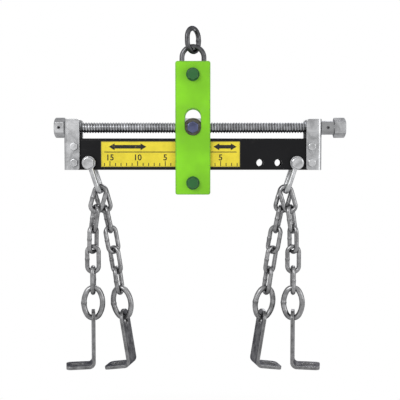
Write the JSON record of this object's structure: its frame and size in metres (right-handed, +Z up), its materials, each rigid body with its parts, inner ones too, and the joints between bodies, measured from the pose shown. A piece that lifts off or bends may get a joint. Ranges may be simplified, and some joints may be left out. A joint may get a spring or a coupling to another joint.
{
  "type": "engine load leveler",
  "caption": "Engine load leveler: a black bar that hangs from a green carrier, is trimmed by a screw and carries chains with angle brackets.",
  "frame": {"origin": "where a hook bears inside the lift ring, at the top of its eye", "axes": "+X along the bar to the right as seen from the labelled side, +Y away from the labelled side, +Z up"},
  "size_m": [0.5296, 0.0851, 0.6335],
  "materials": {
    "green_paint": "smooth lime green powder coat",
    "green_fastener": "dark green coated steel",
    "black_paint": "satin black powder coat",
    "yellow_label": "printed yellow film",
    "bright_zinc": "bright zinc plating, slightly mottled",
    "plain_steel": "dull grey chain steel",
    "dark_steel": "dark oiled steel",
    "bronze": "plain bearing bronze"
  },
  "bodies": {
    "lift_ring": {"lift_ring": "dark_steel"},
    "carrier_link": {"carrier_link": "dark_steel"},
    "carrier": {"front_carrier_plate": "green_paint", "rear_carrier_plate": "green_paint", "carrier_bolts": "green_fastener", "carrier_nuts": "green_fastener", "carrier_washers": "green_fastener", "link_spool": "plain_steel", "roller_sleeve": "plain_steel"},
    "bottom_roller": {"bottom_roller": "plain_steel"},
    "trunnion_bushes": {"trunnion_bushes": "bronze"},
    "trunnion": {"trunnion_nut": "plain_steel", "trunnion_screws": "bright_zinc"},
    "beam": {"bar_tube": "black_paint", "bar_label": "yellow_label", "left_end_bracket": "bright_zinc", "right_end_bracket": "bright_zinc", "end_plugs": "plain_steel", "end_bolts": "bright_zinc", "end_bolt_nuts": "bright_zinc", "screw_bushes": "bronze", "thrust_washers": "plain_steel", "chain_bolts": "bright_zinc", "chain_bolt_nuts": "bright_zinc", "chain_bolt_washers": "bright_zinc", "chain_bolt_sleeves": "plain_steel"},
    "leveling_screw": {"leveling_screw": "plain_steel", "left_drive_head": "bright_zinc", "right_drive_head": "bright_zinc", "roll_pins": "dark_steel"},
    "left_shackle": {"left_shackle": "bright_zinc"},
    "right_shackle": {"right_shackle": "bright_zinc"},
    "left_outer_link_1": {"left_outer_link_1": "plain_steel"},
    "left_outer_link_2": {"left_outer_link_2": "plain_steel"},
    "left_outer_link_3": {"left_outer_link_3": "plain_steel"},
    "left_outer_link_4": {"left_outer_link_4": "plain_steel"},
    "left_outer_link_5": {"left_outer_link_5": "plain_steel"},
    "left_outer_end_link": {"left_outer_end_link": "plain_steel"},
    "left_outer_bracket": {"left_outer_bracket": "plain_steel"},
    "left_inner_link_1": {"left_inner_link_1": "plain_steel"},
    "left_inner_link_2": {"left_inner_link_2": "plain_steel"},
    "left_inner_link_3": {"left_inner_link_3": "plain_steel"},
    "left_inner_link_4": {"left_inner_link_4": "plain_steel"},
    "left_inner_link_5": {"left_inner_link_5": "plain_steel"},
    "left_inner_end_link": {"left_inner_end_link": "plain_steel"},
    "left_inner_bracket": {"left_inner_bracket": "plain_steel"},
    "right_outer_link_1": {"right_outer_link_1": "plain_steel"},
    "right_outer_link_2": {"right_outer_link_2": "plain_steel"},
    "right_outer_link_3": {"right_outer_link_3": "plain_steel"},
    "right_outer_link_4": {"right_outer_link_4": "plain_steel"},
    "right_outer_link_5": {"right_outer_link_5": "plain_steel"},
    "right_outer_end_link": {"right_outer_end_link": "plain_steel"},
    "right_outer_bracket": {"right_outer_bracket": "plain_steel"},
    "right_inner_link_1": {"right_inner_link_1": "plain_steel"},
    "right_inner_link_2": {"right_inner_link_2": "plain_steel"},
    "right_inner_link_3": {"right_inner_link_3": "plain_steel"},
    "right_inner_link_4": {"right_inner_link_4": "plain_steel"},
    "right_inner_link_5": {"right_inner_link_5": "plain_steel"},
    "right_inner_end_link": {"right_inner_end_link": "plain_steel"},
    "right_inner_bracket": {"right_inner_bracket": "plain_steel"}
  },
  "joints": [
    {"name": "link_swing", "type": "hinge", "parent": "lift_ring", "child": "carrier_link", "pos_m": [0, 0, -0.0482], "axis": [0, 1, 0], "range_deg": [-20, 20]},
    {"name": "carrier_swing", "type": "hinge", "parent": "carrier_link", "child": "carrier", "pos_m": [0, 0, -0.081], "axis": [0, 1, 0], "range_deg": [-35, 35]},
    {"name": "roller_spin", "type": "hinge", "parent": "carrier", "child": "bottom_roller", "pos_m": [0, 0, -0.2754], "axis": [0, 1, 0], "continuous": true},
    {"name": "trunnion_lift", "type": "slide", "parent": "carrier", "child": "trunnion_bushes", "axis": [0, 0, 1], "range_m": [0, 0.02]},
    {"name": "beam_tilt", "type": "hinge", "parent": "trunnion_bushes", "child": "trunnion", "pos_m": [0, 0, -0.1754], "axis": [0, 1, 0], "range_deg": [-24, 24]},
    {"name": "beam_slide", "type": "slide", "parent": "trunnion", "child": "beam", "axis": [1, 0, 0], "range_m": [-0.125, 0.125]},
    {"name": "screw_turn", "type": "hinge", "parent": "beam", "child": "leveling_screw", "pos_m": [0, 0, -0.1754], "axis": [1, 0, 0], "range_deg": [-9001, 9001]},
    {"name": "left_shackle_swing", "type": "hinge", "parent": "beam", "child": "left_shackle", "pos_m": [-0.187, 0, -0.239], "axis": [0, 1, 0], "range_deg": [-20, 50]},
    {"name": "right_shackle_swing", "type": "hinge", "parent": "beam", "child": "right_shackle", "pos_m": [0.187, 0, -0.239], "axis": [0, 1, 0], "range_deg": [-50, 20]},
    {"name": "left_outer_link_1_swing", "type": "hinge", "parent": "left_shackle", "child": "left_outer_link_1", "pos_m": [-0.17, -0.0055, -0.29301], "axis": [0, 1, 0], "range_deg": [-1, 25]},
    {"name": "left_outer_link_2_swing", "type": "hinge", "parent": "left_outer_link_1", "child": "left_outer_link_2", "pos_m": [-0.17872, -0.0055, -0.32903], "axis": [0.8576, 0.5, -0.1205], "range_deg": [-2, 15]},
    {"name": "left_outer_link_3_swing", "type": "hinge", "parent": "left_outer_link_2", "child": "left_outer_link_3", "pos_m": [-0.18321, -0.00668, -0.3659], "axis": [-0.8659, 0.5, 0.0151], "range_deg": [-2, 15]},
    {"name": "left_outer_link_4_swing", "type": "hinge", "parent": "left_outer_link_3", "child": "left_outer_link_4", "pos_m": [-0.18386, -0.00668, -0.40304], "axis": [0, 1, 0], "range_deg": [-2, 12]},
    {"name": "left_outer_link_5_swing", "type": "hinge", "parent": "left_outer_link_4", "child": "left_outer_link_5", "pos_m": [-0.18386, -0.00668, -0.44174], "axis": [1, 0, 0], "range_deg": [-12, 12]},
    {"name": "left_outer_end_link_swing", "type": "hinge", "parent": "left_outer_link_5", "child": "left_outer_end_link", "pos_m": [-0.18386, -0.00668, -0.4819], "axis": [-0.1736, 0.9848, 0], "range_deg": [-3, 12]},
    {"name": "left_outer_bracket_swing", "type": "hinge", "parent": "left_outer_end_link", "child": "left_outer_bracket", "pos_m": [-0.18386, -0.00668, -0.52801], "axis": [0.9848, 0.1736, 0], "range_deg": [-35, 35]},
    {"name": "left_inner_link_1_swing", "type": "hinge", "parent": "left_shackle", "child": "left_inner_link_1", "pos_m": [-0.17, 0.0055, -0.29301], "axis": [0, 1, 0], "range_deg": [-12, 1]},
    {"name": "left_inner_link_2_swing", "type": "hinge", "parent": "left_inner_link_1", "child": "left_inner_link_2", "pos_m": [-0.16025, 0.0055, -0.3302], "axis": [0.9192, 0.342, 0.1954], "range_deg": [-8, 3]},
    {"name": "left_inner_link_3_swing", "type": "hinge", "parent": "left_inner_link_2", "child": "left_inner_link_3", "pos_m": [-0.15229, 0.00575, -0.36804], "axis": [-0.5649, 0.8192, -0.0996], "range_deg": [-8, 3]},
    {"name": "left_inner_link_4_swing", "type": "hinge", "parent": "left_inner_link_3", "child": "left_inner_link_4", "pos_m": [-0.1457, 0.00566, -0.40614], "axis": [0.6349, 0.766, 0.1006], "range_deg": [-6, 3]},
    {"name": "left_inner_link_5_swing", "type": "hinge", "parent": "left_inner_link_4", "child": "left_inner_link_5", "pos_m": [-0.13984, 0.0058, -0.44416], "axis": [-0.9305, 0.342, -0.1308], "range_deg": [-8, 3]},
    {"name": "left_inner_end_link_swing", "type": "hinge", "parent": "left_inner_link_5", "child": "left_inner_end_link", "pos_m": [-0.13423, 0.00586, -0.48396], "axis": [0.2556, 0.9659, 0.0405], "range_deg": [-6, 3]},
    {"name": "left_inner_bracket_swing", "type": "hinge", "parent": "left_inner_end_link", "child": "left_inner_bracket", "pos_m": [-0.12701, 0.00586, -0.52951], "axis": [0.954, -0.2588, 0.1511], "range_deg": [-35, 35]},
    {"name": "right_outer_link_1_swing", "type": "hinge", "parent": "right_shackle", "child": "right_outer_link_1", "pos_m": [0.17, -0.0055, -0.29301], "axis": [0, 1, 0], "range_deg": [-25, 1]},
    {"name": "right_outer_link_2_swing", "type": "hinge", "parent": "right_outer_link_1", "child": "right_outer_link_2", "pos_m": [0.17872, -0.0055, -0.32903], "axis": [-0.8576, 0.5, -0.1205], "range_deg": [-15, 2]},
    {"name": "right_outer_link_3_swing", "type": "hinge", "parent": "right_outer_link_2", "child": "right_outer_link_3", "pos_m": [0.18321, -0.00668, -0.3659], "axis": [0.8659, 0.5, 0.0151], "range_deg": [-15, 2]},
    {"name": "right_outer_link_4_swing", "type": "hinge", "parent": "right_outer_link_3", "child": "right_outer_link_4", "pos_m": [0.18386, -0.00668, -0.40304], "axis": [0, 1, 0], "range_deg": [-12, 2]},
    {"name": "right_outer_link_5_swing", "type": "hinge", "parent": "right_outer_link_4", "child": "right_outer_link_5", "pos_m": [0.18386, -0.00668, -0.44174], "axis": [-1, 0, 0], "range_deg": [-12, 12]},
    {"name": "right_outer_end_link_swing", "type": "hinge", "parent": "right_outer_link_5", "child": "right_outer_end_link", "pos_m": [0.18386, -0.00668, -0.4819], "axis": [0.1736, 0.9848, 0], "range_deg": [-12, 3]},
    {"name": "right_outer_bracket_swing", "type": "hinge", "parent": "right_outer_end_link", "child": "right_outer_bracket", "pos_m": [0.18386, -0.00668, -0.52801], "axis": [0.9848, -0.1736, 0], "range_deg": [-35, 35]},
    {"name": "right_inner_link_1_swing", "type": "hinge", "parent": "right_shackle", "child": "right_inner_link_1", "pos_m": [0.17, 0.0055, -0.29301], "axis": [0, 1, 0], "range_deg": [-1, 12]},
    {"name": "right_inner_link_2_swing", "type": "hinge", "parent": "right_inner_link_1", "child": "right_inner_link_2", "pos_m": [0.16025, 0.0055, -0.3302], "axis": [-0.9192, 0.342, 0.1954], "range_deg": [-3, 8]},
    {"name": "right_inner_link_3_swing", "type": "hinge", "parent": "right_inner_link_2", "child": "right_inner_link_3", "pos_m": [0.15229, 0.00575, -0.36804], "axis": [0.5649, 0.8192, -0.0996], "range_deg": [-3, 8]},
    {"name": "right_inner_link_4_swing", "type": "hinge", "parent": "right_inner_link_3", "child": "right_inner_link_4", "pos_m": [0.1457, 0.00566, -0.40614], "axis": [-0.6349, 0.766, 0.1006], "range_deg": [-3, 6]},
    {"name": "right_inner_link_5_swing", "type": "hinge", "parent": "right_inner_link_4", "child": "right_inner_link_5", "pos_m": [0.13984, 0.0058, -0.44416], "axis": [0.9305, 0.342, -0.1308], "range_deg": [-3, 8]},
    {"name": "right_inner_end_link_swing", "type": "hinge", "parent": "right_inner_link_5", "child": "right_inner_end_link", "pos_m": [0.13423, 0.00586, -0.48396], "axis": [-0.2556, 0.9659, 0.0405], "range_deg": [-3, 6]},
    {"name": "right_inner_bracket_swing", "type": "hinge", "parent": "right_inner_end_link", "child": "right_inner_bracket", "pos_m": [0.12701, 0.00586, -0.52951], "axis": [0.954, 0.2588, -0.1511], "range_deg": [-35, 35]}
  ],
  "couplings": [
    {"joint": "screw_turn", "follows": "beam_slide", "rad_per_m": 1256.6}
  ]
}
